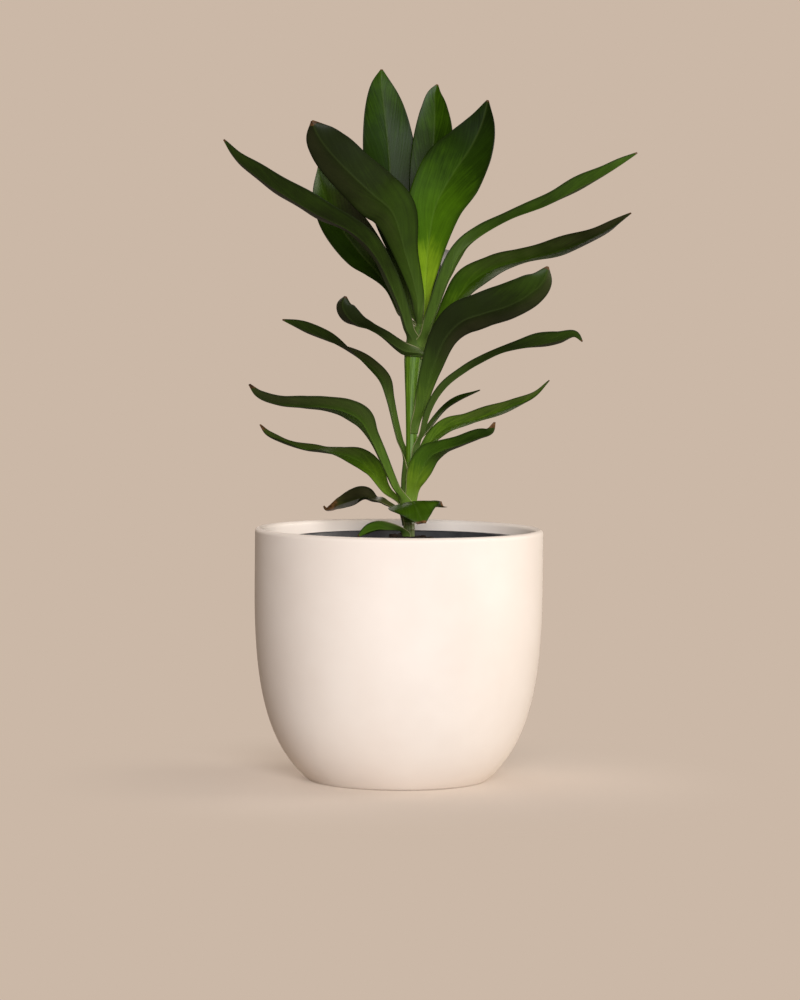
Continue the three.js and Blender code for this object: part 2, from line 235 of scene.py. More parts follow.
def turned(profile, centre_x=0.0):
    """Lathe: each (radius, height) of the profile is carried round the Z axis. The profile starts and
    ends on the axis, where the skin closes on one point."""
    profile = np.asarray(profile, float)
    angle = np.arange(LATHE_STEPS) / LATHE_STEPS * 2 * math.pi
    rings = profile[1:-1]
    x = rings[:, :1] * np.cos(angle) + centre_x
    y = rings[:, :1] * np.sin(angle)
    z = np.repeat(rings[:, 1:], LATHE_STEPS, axis=1)
    body = np.stack([x, y, z], axis=-1).reshape(-1, 3)
    poles = [(centre_x, 0, profile[0, 1]), (centre_x, 0, profile[-1, 1])]
    faces = [ring_quads(len(rings), LATHE_STEPS), pole_fans(len(rings), LATHE_STEPS)]
    return np.vstack([body, poles]), faces


inside = POT_RADIUS - POT_WALL
rim = POT_WALL / 2
sweep = np.linspace(0, math.pi, 25)[1:-1]
rim_curve = np.stack([POT_RADIUS - rim + rim * np.cos(sweep), POT_HEIGHT - rim + rim * np.sin(sweep)], axis=1)
pot_profile = np.vstack([
    [(0, 0)],
    np.stack([np.linspace(0.2, 0.975, 12) * POT_FOOT_RADIUS, np.zeros(12)], axis=1),
    bend((POT_FOOT_RADIUS, 0.4 * MM), (0.103, 0.028), (POT_RADIUS, 0.075), (POT_RADIUS, POT_SIDE_START), 70),
    np.stack([np.full(12, POT_RADIUS), np.linspace(POT_SIDE_START + 3 * MM, POT_HEIGHT - rim, 12)], axis=1),
    rim_curve,
    np.stack([np.full(12, inside), np.linspace(POT_HEIGHT - rim, POT_SIDE_START + 3 * MM, 12)], axis=1),
    bend((inside, POT_SIDE_START), (inside, 0.08), (0.098, 0.036), (POT_FOOT_RADIUS + 2 * MM, POT_FLOOR), 40),
    np.stack([np.linspace(0.97, 0.2, 8) * POT_FOOT_RADIUS, np.full(8, POT_FLOOR)], axis=1),
    [(0, POT_FLOOR)],
])

# Matt-glazed stoneware: satin, cream, with a slow drift of tone where the glaze is thicker and a
# very fine eggshell grain, drawn at 1.2 mm so that it shows.
glaze, tree = bare_material("cream_matt_glazed_stoneware")
where = add_node(tree, "ShaderNodeTexCoord")
drift = add_node(tree, "ShaderNodeTexNoise", {
    "Vector": where.outputs["Object"], "Scale": 14.0, "Detail": 3.0, "Roughness": 0.55})
tone = add_node(tree, "ShaderNodeValToRGB", {"Fac": drift.outputs["Fac"]},
                ramp=[(0.3, "#f5e9dd"), (0.7, "#fbf1e6")])
grain = add_node(tree, "ShaderNodeTexNoise", {
    "Vector": where.outputs["Object"], "Scale": 850.0, "Detail": 2.0, "Roughness": 0.6})
eggshell = add_node(tree, "ShaderNodeBump", {
    "Height": grain.outputs["Fac"], "Strength": 0.06, "Distance": 0.0006})
satin = add_node(tree, "ShaderNodeMapRange", {
    "Value": drift.outputs["Fac"], "To Min": 0.5, "To Max": 0.62})
shell = add_node(tree, "ShaderNodeBsdfPrincipled", {
    "Base Color": tone.outputs["Color"], "Roughness": satin.outputs[0], "IOR": 1.5,
    "Specular IOR Level": 0.3, "Normal": eggshell.outputs[0]})
add_node(tree, "ShaderNodeOutputMaterial", {"Surface": shell.outputs[0]})

points, faces = turned(pot_profile)
pot = make_piece("cachepot", points, faces, glaze)
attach(pot, "root")
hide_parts("ceramic_pot")


# ---------------------------------------------------------------------------------------------
# Nursery pot: thin black polypropylene, blow-moulded with a taper and a thicker lip, standing
# loose on the cachepot's floor and nearer its right side.
# ---------------------------------------------------------------------------------------------
NURSERY_X = (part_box("nursery_pot")[0].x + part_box("nursery_pot")[1].x) / 2
NURSERY_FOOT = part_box("nursery_pot")[0].z
NURSERY_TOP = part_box("nursery_pot")[1].z
NURSERY_RIM_RADIUS = 94 * MM
NURSERY_FOOT_RADIUS = 62 * MM
NURSERY_WALL = 1.6 * MM
NURSERY_LIP_HEIGHT = 9 * MM
NURSERY_LIP_PROUD = 1.4 * MM
NURSERY_LIP_ROUND = 1.2 * MM
NURSERY_TAPER = (NURSERY_RIM_RADIUS - NURSERY_FOOT_RADIUS) / (NURSERY_TOP - NURSERY_FOOT)
DRAIN_HOLES = 6
DRAIN_HOLE_RADIUS = 6 * MM
DRAIN_HOLE_CIRCLE = 42 * MM


def straight(start, end, steps):
    """Evenly spaced points between two points."""
    return np.linspace(start, end, steps)


lip_foot = NURSERY_TOP - NURSERY_LIP_HEIGHT
at_lip = NURSERY_FOOT_RADIUS + NURSERY_TAPER * (lip_foot - NURSERY_FOOT)
outer_top = NURSERY_RIM_RADIUS + NURSERY_LIP_PROUD
inner_top = NURSERY_RIM_RADIUS - NURSERY_WALL
lip_edge = (outer_top - inner_top) / 2
sweep = np.linspace(0, math.pi, 13)
lip_curve = np.stack([
    inner_top + lip_edge + lip_edge * np.cos(sweep),
    NURSERY_TOP - NURSERY_LIP_ROUND + NURSERY_LIP_ROUND * np.sin(sweep)], axis=1)
nursery_profile = np.vstack([
    [(0, NURSERY_FOOT)],
    straight((0.01, NURSERY_FOOT), (NURSERY_FOOT_RADIUS - 1.5 * MM, NURSERY_FOOT), 8),
    straight((NURSERY_FOOT_RADIUS, NURSERY_FOOT + 0.5 * MM), (at_lip, lip_foot - 0.4 * MM), 30),
    [(at_lip + NURSERY_LIP_PROUD * 0.7, lip_foot), (at_lip + NURSERY_LIP_PROUD, lip_foot + 0.4 * MM)],
    lip_curve,
    straight((inner_top - 0.4 * MM, NURSERY_TOP - 3 * MM),
             (NURSERY_FOOT_RADIUS - NURSERY_WALL, NURSERY_FOOT + NURSERY_WALL + 1 * MM), 30),
    straight((NURSERY_FOOT_RADIUS - NURSERY_WALL - 1 * MM, NURSERY_FOOT + NURSERY_WALL),
             (0.01, NURSERY_FOOT + NURSERY_WALL), 8),
    [(0, NURSERY_FOOT + NURSERY_WALL)],
])

# Black polypropylene: moulded matt, greyed in patches by dust and dried water marks.
plastic, tree = bare_material("black_moulded_polypropylene")
where = add_node(tree, "ShaderNodeTexCoord")
dust = add_node(tree, "ShaderNodeTexNoise", {
    "Vector": where.outputs["Object"], "Scale": 70.0, "Detail": 6.0, "Roughness": 0.65})
tone = add_node(tree, "ShaderNodeValToRGB", {"Fac": dust.outputs["Fac"]},
                ramp=[(0.42, "#2c2c2f"), (0.62, "#3a393b"), (0.75, "#4b4744")])
grain = add_node(tree, "ShaderNodeTexNoise", {
    "Vector": where.outputs["Object"], "Scale": 900.0, "Detail": 2.0})
texture = add_node(tree, "ShaderNodeBump", {
    "Height": grain.outputs["Fac"], "Strength": 0.25, "Distance": 0.0004})
shell = add_node(tree, "ShaderNodeBsdfPrincipled", {
    "Base Color": tone.outputs["Color"], "Roughness": 0.5, "IOR": 1.49, "Normal": texture.outputs[0]})
add_node(tree, "ShaderNodeOutputMaterial", {"Surface": shell.outputs[0]})

points, faces = turned(nursery_profile, NURSERY_X)
nursery = make_piece("nursery_liner", points, faces, plastic)
for hole in range(DRAIN_HOLES):
    angle = hole / DRAIN_HOLES * 2 * math.pi
    x = NURSERY_X + DRAIN_HOLE_CIRCLE * math.cos(angle)
    y = DRAIN_HOLE_CIRCLE * math.sin(angle)
    bpy.ops.mesh.primitive_cylinder_add(vertices=40, radius=DRAIN_HOLE_RADIUS, depth=20 * MM,
                                        location=(x, y, NURSERY_FOOT))
    cutter = bpy.context.object
    cut = nursery.modifiers.new("drain_hole", "BOOLEAN")
    cut.object = cutter
    cut.operation = "DIFFERENCE"
    with bpy.context.temp_override(object=nursery, active_object=nursery):
        bpy.ops.object.modifier_apply(modifier=cut.name)
    bpy.data.objects.remove(cutter)
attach(nursery, "root")
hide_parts("nursery_pot")


# ---------------------------------------------------------------------------------------------
# Potting soil: a dark peat and bark mix that fills the nursery pot. It mounds up round the stem
# and lies a little below the pot's lip.
# ---------------------------------------------------------------------------------------------
SOIL_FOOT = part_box("potting_soil")[0].z
SOIL_EDGE_TOP = 177 * MM
SOIL_INSET = 2.3 * MM
MOUND_REACH = np.array([0, 8, 16, 32, 60, 89]) * MM
MOUND_HEIGHT = np.array([191, 190.5, 188, 184, 180, 177.5]) * MM
LUMPS = ((14 * MM, 1.7 * MM), (6 * MM, 1.2 * MM), (2.5 * MM, 0.8 * MM))
STEM_FOOT = 60 * MM
STEM_HOLE = 4.5 * MM
SOIL_RINGS = 130
SOIL_SPOKES = 300
LATTICE_CELLS = 512
CRUMB_COUNT = 620
PERLITE_COUNT = 26
BIT_RINGS = 5
BIT_SIDES = 7


def rough(x, y, cell, seed):
    """Value noise from -1 to 1: random heights on a square lattice of the given cell, blended from
    one to the next with a smooth step."""
    lattice = np.random.default_rng(seed).uniform(-1, 1, (LATTICE_CELLS, LATTICE_CELLS))
    u = x / cell + 200.3
    v = y / cell + 200.7
    i = np.floor(u).astype(int)
    j = np.floor(v).astype(int)
    f = u - i
    g = v - j
    f = f * f * (3 - 2 * f)
    g = g * g * (3 - 2 * g)
    low = lattice[i, j] * (1 - f) + lattice[i + 1, j] * f
    high = lattice[i, j + 1] * (1 - f) + lattice[i + 1, j + 1] * f
    return low * (1 - g) + high * g


def soil_height(x, y):
    """The mound's height by its distance from the stem, with lumps of 14, 6 and 2.5 mm on it. The
    lumps die out at the stem and at the pot's wall."""
    reach = np.hypot(x, y)
    mound = np.interp(reach, MOUND_REACH, MOUND_HEIGHT)
    lumps = sum(rough(x, y, cell, 3 + i) * depth for i, (cell, depth) in enumerate(LUMPS))
    calm = np.clip((reach - 5 * MM) / (6 * MM), 0, 1) * np.clip((88.5 * MM - reach) / (6 * MM), 0.25, 1)
    return mound + lumps * calm


soil_foot_radius = NURSERY_FOOT_RADIUS - SOIL_INSET
soil_radius = soil_foot_radius + NURSERY_TAPER * (SOIL_EDGE_TOP - SOIL_FOOT)
angle = np.arange(SOIL_SPOKES) / SOIL_SPOKES * 2 * math.pi
reach = np.linspace(soil_radius, STEM_HOLE, SOIL_RINGS)
top_x = reach[:, None] * np.cos(angle)
top_y = reach[:, None] * np.sin(angle)
top = np.stack([top_x, top_y, soil_height(top_x, top_y)], axis=-1)
wall_z = np.linspace(SOIL_FOOT, SOIL_EDGE_TOP - 1 * MM, 6)[:, None]
wall_r = soil_foot_radius + NURSERY_TAPER * (wall_z - SOIL_FOOT)
wall = np.stack([wall_r * np.cos(angle), wall_r * np.sin(angle), wall_z + 0 * angle], axis=-1)
shaft_foot = STEM_FOOT - 0.3 * MM
shaft_z = np.linspace(188 * MM, shaft_foot, 5)[:, None]
shaft = np.stack([STEM_HOLE * np.cos(angle) + 0 * shaft_z, STEM_HOLE * np.sin(angle) + 0 * shaft_z,
                  shaft_z + 0 * angle], axis=-1)
rings = np.concatenate([wall, top, shaft])
poles = [(0, 0, SOIL_FOOT), (0, 0, shaft_foot)]
points = np.vstack([rings.reshape(-1, 3), poles]) + (NURSERY_X, 0, 0)
faces = [ring_quads(len(rings), SOIL_SPOKES), pole_fans(len(rings), SOIL_SPOKES)]

# Damp peat: nearly black brown, crumbly, with paler fibres.
peat, tree = bare_material("damp_peat_and_bark")
where = add_node(tree, "ShaderNodeTexCoord")
crumbs = add_node(tree, "ShaderNodeTexNoise", {
    "Vector": where.outputs["Object"], "Scale": 320.0, "Detail": 6.0, "Roughness": 0.7})
tone = add_node(tree, "ShaderNodeValToRGB", {"Fac": crumbs.outputs["Fac"]},
                ramp=[(0.3, "#150f0b"), (0.55, "#2c2018"), (0.72, "#4a382a"), (0.85, "#6b533c")])
relief = add_node(tree, "ShaderNodeBump", {
    "Height": crumbs.outputs["Fac"], "Strength": 0.9, "Distance": 0.0016})
shell = add_node(tree, "ShaderNodeBsdfPrincipled", {
    "Base Color": tone.outputs["Color"], "Roughness": 0.95, "Specular IOR Level": 0.2,
    "Normal": relief.outputs[0]})
add_node(tree, "ShaderNodeOutputMaterial", {"Surface": shell.outputs[0]})

soil = make_piece("potting_mix", points, faces, peat)
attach(soil, "root")
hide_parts("potting_soil")


def scatter_bits(name, count, smallest, largest, flatness, seed, material):
    """Loose bits on the soil: one lumpy ball, copied to random places with a random size, turn and
    dents. Its rings run from the top down, so its faces are taken backwards."""
    rng = np.random.default_rng(seed)
    tilt = np.linspace(0, math.pi, BIT_RINGS + 2)[1:-1, None]
    around = np.arange(BIT_SIDES) / BIT_SIDES * 2 * math.pi
    ball = np.stack([np.sin(tilt) * np.cos(around), np.sin(tilt) * np.sin(around),
                     np.cos(tilt) + 0 * around], axis=-1).reshape(-1, 3)
    ball = np.vstack([ball, [(0, 0, 1), (0, 0, -1)]])
    sides = ring_quads(BIT_RINGS, BIT_SIDES)[:, ::-1]
    caps = pole_fans(BIT_RINGS, BIT_SIDES)[:, ::-1]
    distance = np.sqrt(rng.uniform((9 * MM) ** 2, (86 * MM) ** 2, count))
    turn = rng.uniform(0, 2 * math.pi, count)
    x = distance * np.cos(turn)
    y = distance * np.sin(turn)
    size = smallest + (largest - smallest) * rng.uniform(0, 1, count) ** 2.5
    lumps = ball * rng.uniform(0.75, 1.15, (count, len(ball), 1))
    widths = np.stack([size, size * rng.uniform(0.45, 0.9, count), size * flatness], axis=1)
    px, py, pz = np.moveaxis(lumps * widths[:, None, :], -1, 0)
    spin = rng.uniform(0, 2 * math.pi, count)[:, None]
    lean = rng.uniform(-0.5, 0.5, count)[:, None]
    px, pz = px * np.cos(lean) + pz * np.sin(lean), pz * np.cos(lean) - px * np.sin(lean)
    px, py = px * np.cos(spin) - py * np.sin(spin), px * np.sin(spin) + py * np.cos(spin)
    lumps = np.stack([px, py, pz], axis=-1)
    middle = np.stack([x + NURSERY_X, y, soil_height(x, y) + size * flatness * 0.4], axis=1)
    lumps = lumps + middle[:, None, :]
    step = (np.arange(count) * len(ball))[:, None, None]
    faces = [(sides + step).reshape(-1, 4), (caps + step).reshape(-1, 3)]
    bits = make_piece(name, lumps, faces, material)
    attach(bits, "root")


# Perlite: white, brittle, chalky grains.
perlite, tree = bare_material("white_perlite")
where = add_node(tree, "ShaderNodeTexCoord")
chalk = add_node(tree, "ShaderNodeTexNoise", {
    "Vector": where.outputs["Object"], "Scale": 900.0, "Detail": 3.0})
tone = add_node(tree, "ShaderNodeValToRGB", {"Fac": chalk.outputs["Fac"]},
                ramp=[(0.35, "#a79d8e"), (0.6, "#d8d2c6")])
shell = add_node(tree, "ShaderNodeBsdfPrincipled", {"Base Color": tone.outputs["Color"], "Roughness": 0.9})
add_node(tree, "ShaderNodeOutputMaterial", {"Surface": shell.outputs[0]})

scatter_bits("bark_crumbs", CRUMB_COUNT, 1.1 * MM, 4.6 * MM, 0.5, 11, peat)
scatter_bits("perlite_grains", PERLITE_COUNT, 0.8 * MM, 1.9 * MM, 0.8, 12, perlite)


# ---------------------------------------------------------------------------------------------
# Stem: a young green cane, thickened higher up where the leaf bases wrap it tightly, with a ring
# scar at each place where an older leaf has come away.
# ---------------------------------------------------------------------------------------------
STEM_COURSE = np.array([
    (8, 0, 60, 4), (8, 0, 130, 4.2), (8, 0, 190, 4.2), (7, 0, 213, 4.8), (7.6, 0, 233, 5.2), (9, 0, 252, 4.4),
    (9, 0, 295, 4.9), (9.5, 0, 318, 6.2), (10.5, 0, 333, 7.3), (13, 0, 343, 7), (15, 0, 350, 6),
])
STEM_SIDES = 72
STEM_STEPS = 40
SCAR_HEIGHTS = (196, 201, 205.5, 210, 214, 219, 226, 233)
SCAR_SWELL = 0.28
SCAR_BREADTH = 0.55


def follow(rows, steps):
    """Smooth course through rows of x, y, z and further values: a centripetal Catmull-Rom curve, whose
    knots lie apart by the root of the distance between two rows. Each span is the cubic that meets
    its neighbours' slopes."""
    rows = np.asarray(rows, float)
    knots = np.vstack([2 * rows[0] - rows[1], rows, 2 * rows[-1] - rows[-2]])
    gap = np.sqrt(np.linalg.norm(np.diff(knots[:, :3], axis=0), axis=1))[:, None]
    before, here, after, beyond = knots[:-3], knots[1:-2], knots[2:-1], knots[3:]
    g0, g1, g2 = gap[:-2], gap[1:-1], gap[2:]
    leaving = ((here - before) / g0 - (after - before) / (g0 + g1) + (after - here) / g1) * g1
    arriving = ((after - here) / g1 - (beyond - here) / (g1 + g2) + (beyond - after) / g2) * g1
    u = (np.arange(steps) / steps)[None, :, None]
    spans = ((2 * u ** 3 - 3 * u ** 2 + 1) * here[:, None] + (u ** 3 - 2 * u ** 2 + u) * leaving[:, None]
             + (3 * u ** 2 - 2 * u ** 3) * after[:, None] + (u ** 3 - u ** 2) * arriving[:, None])
    return np.vstack([spans.reshape(-1, rows.shape[1]), rows[-1:]])


def skinned(rings):
    """Closed skin over a row of rings with the same count of points. A ring's two halves face each
    other, so each end closes as a strip between them."""
    count = rings.shape[1]
    sides = ring_quads(len(rings), count)
    j = np.arange(count // 2 - 1)
    k = count - 1 - j
    last = (len(rings) - 1) * count
    ends = np.concatenate([np.stack([j, k, k - 1, j + 1], axis=-1),
                           last + np.stack([j, j + 1, k - 1, k], axis=-1)])
    return rings.reshape(-1, 3), [sides, ends]


stem_line = follow(STEM_COURSE, STEM_STEPS)
tip_line = np.array([(15.2, 0, 352, 4.9), (15.3, 0, 354, 3.2), (15.3, 0, 355.5, 0.6)])
stem_line = np.vstack([stem_line, tip_line])
angle = (np.arange(STEM_SIDES) + 0.5) / STEM_SIDES * 2 * math.pi
height = stem_line[:, 2][:, None]
above = [height - scar - 0.7 * np.sin(angle + scar) for scar in SCAR_HEIGHTS]
swell = sum(SCAR_SWELL * np.exp(-(gap / SCAR_BREADTH) ** 2) for gap in above)
flutes = 0.09 * np.sin(11 * angle + height / 31) + 0.06 * np.sin(17 * angle - height / 23)
radius = stem_line[:, 3][:, None] + swell + flutes
rings = np.stack([stem_line[:, 0][:, None] + radius * np.cos(angle),
                  stem_line[:, 1][:, None] + radius * np.sin(angle),
                  np.repeat(height, STEM_SIDES, axis=1)], axis=-1)
scar_shade = np.clip(swell / SCAR_SWELL, 0, 1)

# Living green cane: waxy skin with fine lengthwise streaks, corky brown on the scars and greyer
# green near the soil.
cane, tree = bare_material("living_green_cane")
where = add_node(tree, "ShaderNodeTexCoord")
stretched = add_node(tree, "ShaderNodeMapping", {
    "Vector": where.outputs["Object"], "Scale": (1100, 1100, 45)})
streak = add_node(tree, "ShaderNodeTexNoise", {
    "Vector": stretched.outputs[0], "Scale": 1.0, "Detail": 4.0, "Roughness": 0.6})
skin_tone = add_node(tree, "ShaderNodeValToRGB", {"Fac": streak.outputs["Fac"]},
                     ramp=[(0.3, "#41600c"), (0.52, "#53760f"), (0.75, "#6f9324")])
place = add_node(tree, "ShaderNodeSeparateXYZ", {0: where.outputs["Object"]})
lowness = add_node(tree, "ShaderNodeMapRange", {
    "Value": place.outputs["Z"], "From Min": 0.236, "From Max": 0.205, "To Max": 0.75})
aged = add_node(tree, "ShaderNodeMix", {
    0: lowness.outputs[0], 6: skin_tone.outputs["Color"], 7: linear("#66703c")}, data_type="RGBA")
scar = add_node(tree, "ShaderNodeAttribute", attribute_name="scar")
cork = add_node(tree, "ShaderNodeMath", {0: scar.outputs["Fac"], 1: 0.7}, operation="MULTIPLY")
corked = add_node(tree, "ShaderNodeMix", {
    0: cork.outputs[0], 6: aged.outputs[2], 7: linear("#574a2c")}, data_type="RGBA")
relief = add_node(tree, "ShaderNodeBump", {
    "Height": streak.outputs["Fac"], "Strength": 0.4, "Distance": 0.0003})
shell = add_node(tree, "ShaderNodeBsdfPrincipled", {
    "Base Color": corked.outputs[2], "Roughness": 0.45, "IOR": 1.45, "Normal": relief.outputs[0]})
add_node(tree, "ShaderNodeOutputMaterial", {"Surface": shell.outputs[0]})

points, faces = skinned(rings * MM)
stem = make_piece("green_cane", points, faces, cane, {"scar": scar_shade})
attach(stem, "root")
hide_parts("stem")


# ---------------------------------------------------------------------------------------------
# Leaves: twenty-two lance-shaped blades. Each grows from a base that clasps the stem, narrows to
# a channelled stalk and opens to a thin glossy blade with a sunken midrib and a fine point.
# ---------------------------------------------------------------------------------------------
TO_FRONT = (0, -1, 0)
